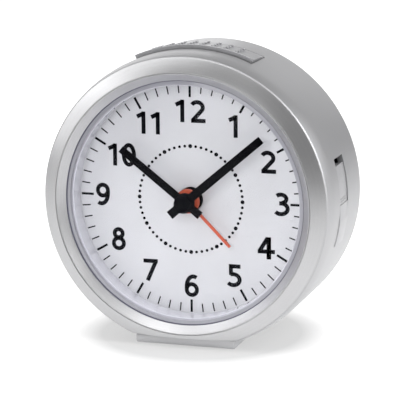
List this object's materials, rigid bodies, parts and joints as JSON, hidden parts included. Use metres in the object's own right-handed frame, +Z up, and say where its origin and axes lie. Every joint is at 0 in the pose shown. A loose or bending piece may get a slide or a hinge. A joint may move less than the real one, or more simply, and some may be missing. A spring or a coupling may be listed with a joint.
{
  "type": "radio-controlled alarm clock",
  "caption": "Round silver table alarm clock on a small foot, with a funnel bezel, domed lens, wedge snooze bar on top, side slide switch, geared hands and a rear battery door.",
  "frame": {"origin": "middle of the clock's box, on the table under the foot", "axes": "+Z up, -Y out of the dial towards the viewer, +X to the viewer's right"},
  "size_m": [0.1, 0.0442, 0.1001],
  "materials": {
    "silver_paint": "silver paint on moulded plastic",
    "foot_silver": "silver paint on moulded plastic",
    "bezel_silver": "silver with fine turned lines",
    "clear_plastic": "clear and polished",
    "ring_grey": "glossy grey",
    "dial_white": "matt pale grey with a print",
    "cover_plastic": "fine moulded texture",
    "door_plastic": "fine moulded texture",
    "battery_sleeve": "plain coloured sleeve",
    "steel": "bright steel",
    "screw_steel": "zinc-plated steel",
    "light_plastic": "natural white plastic",
    "dark_plastic": "plain black plastic",
    "knob_plastic": "plain black plastic",
    "button_plastic": "light grey plastic",
    "hand_black": "satin black",
    "cap_black": "glossy black",
    "hand_orange": "satin orange",
    "brass": "cut brass",
    "copper": "enamelled copper wire",
    "ferrite": "dull sintered ferrite",
    "board_green": "green lacquered board",
    "snooze_silver": "silver paint on moulded plastic",
    "slider_silver": "silver paint on moulded plastic"
  },
  "bodies": {
    "case": {"housing": "silver_paint", "foot": "foot_silver", "bezel": "bezel_silver", "lens": "clear_plastic", "dial_ring": "ring_grey", "dial": "dial_white", "centre_bush": "hand_black", "rear_cover": "cover_plastic", "battery": "battery_sleeve", "battery_spring": "steel", "battery_contact": "steel", "movement_front_plate": "light_plastic", "movement_rear_plate": "dark_plastic", "stator": "steel", "coil": "copper", "control_board": "board_green", "receiver_chip": "dark_plastic", "antenna_rod": "ferrite", "antenna_coil": "copper", "buzzer": "dark_plastic", "snooze_spring": "steel", "snooze_switch_body": "dark_plastic", "snooze_hinge_pin": "steel", "alarm_switch": "dark_plastic", "set_switch_body": "dark_plastic", "wave_switch_body": "dark_plastic", "reset_switch_body": "dark_plastic", "cover_screw_1": "screw_steel", "cover_screw_2": "screw_steel", "cover_screw_3": "screw_steel", "cover_screw_4": "screw_steel", "movement_screw_1": "screw_steel", "movement_screw_2": "screw_steel"},
    "minute_train": {"minute_arbor": "brass", "minute_hand": "hand_black", "hand_cap": "cap_black"},
    "motion_train": {"motion_wheel": "light_plastic"},
    "hour_train": {"hour_wheel": "brass", "hour_hand": "hand_black"},
    "intermediate_train": {"intermediate_wheel": "light_plastic"},
    "motor_rotor": {"rotor": "dark_plastic"},
    "alarm_setting": {"alarm_knob": "knob_plastic", "alarm_pinion": "light_plastic"},
    "alarm_train": {"alarm_wheel": "light_plastic", "alarm_hand": "hand_orange"},
    "snooze": {"snooze_bar": "snooze_silver"},
    "snooze_plunger": {"snooze_switch_plunger": "light_plastic"},
    "side_switch": {"alarm_slider": "slider_silver", "alarm_switch_lever": "light_plastic"},
    "set_key": {"set_button": "button_plastic", "set_switch_plunger": "light_plastic"},
    "wave_key": {"wave_button": "button_plastic", "wave_switch_plunger": "light_plastic"},
    "reset_key": {"reset_button": "button_plastic", "reset_switch_plunger": "light_plastic"},
    "door": {"battery_door": "door_plastic"}
  },
  "joints": [
    {"name": "minute_turn", "type": "hinge", "parent": "case", "child": "minute_train", "pos_m": [0, -0.0109, 0.0485], "axis": [0, 1, 0], "continuous": true},
    {"name": "motion_turn", "type": "hinge", "parent": "case", "child": "motion_train", "pos_m": [-0.01, -0.0109, 0.0485], "axis": [0, 1, 0], "continuous": true},
    {"name": "hour_turn", "type": "hinge", "parent": "case", "child": "hour_train", "pos_m": [0, -0.0109, 0.0485], "axis": [0, 1, 0], "continuous": true},
    {"name": "intermediate_turn", "type": "hinge", "parent": "case", "child": "intermediate_train", "pos_m": [0.00578, -0.0109, 0.04024], "axis": [0, 1, 0], "continuous": true},
    {"name": "rotor_turn", "type": "hinge", "parent": "case", "child": "motor_rotor", "pos_m": [-0.00014, -0.0109, 0.03809], "axis": [0, 1, 0], "continuous": true},
    {"name": "alarm_set_turn", "type": "hinge", "parent": "case", "child": "alarm_setting", "pos_m": [0.00891, -0.0109, 0.05474], "axis": [0, 1, 0], "continuous": true},
    {"name": "alarm_hand_turn", "type": "hinge", "parent": "case", "child": "alarm_train", "pos_m": [0, -0.0109, 0.0485], "axis": [0, 1, 0], "continuous": true},
    {"name": "snooze_press", "type": "hinge", "parent": "case", "child": "snooze", "pos_m": [0, 0.0066, 0.0911], "axis": [1, 0, 0], "range_deg": [0, 3], "stiffness_Nm_per_rad": 0.2, "springref_deg": -2.86, "deforming": ["snooze_spring"]},
    {"name": "snooze_plunger_slide", "type": "slide", "parent": "case", "child": "snooze_plunger", "axis": [0, 0, -1], "range_m": [0, 0.0005]},
    {"name": "alarm_slide", "type": "hinge", "parent": "case", "child": "side_switch", "pos_m": [0, -0.0109, 0.0485], "axis": [0, -1, 0], "range_deg": [0, 2.5]},
    {"name": "set_press", "type": "slide", "parent": "case", "child": "set_key", "axis": [0, -1, 0], "range_m": [0, 0.0005], "stiffness_N_per_m": 400, "springref_m": -0.0005},
    {"name": "wave_press", "type": "slide", "parent": "case", "child": "wave_key", "axis": [0, -1, 0], "range_m": [0, 0.0005], "stiffness_N_per_m": 400, "springref_m": -0.0005},
    {"name": "reset_press", "type": "slide", "parent": "case", "child": "reset_key", "axis": [0, -1, 0], "range_m": [0, 0.0005], "stiffness_N_per_m": 400, "springref_m": -0.0005},
    {"name": "door_pull", "type": "slide", "parent": "case", "child": "door", "axis": [0, 1, 0], "range_m": [0, 0.02]}
  ],
  "couplings": [
    {"joint": "motion_turn", "follows": "minute_turn", "ratio": -0.33333},
    {"joint": "hour_turn", "follows": "minute_turn", "ratio": 0.083333},
    {"joint": "intermediate_turn", "follows": "minute_turn", "ratio": -6},
    {"joint": "rotor_turn", "follows": "minute_turn", "ratio": 30},
    {"joint": "alarm_hand_turn", "follows": "alarm_set_turn", "ratio": -0.33333},
    {"joint": "snooze_plunger_slide", "follows": "snooze_press", "m_per_rad": 0.0095}
  ]
}
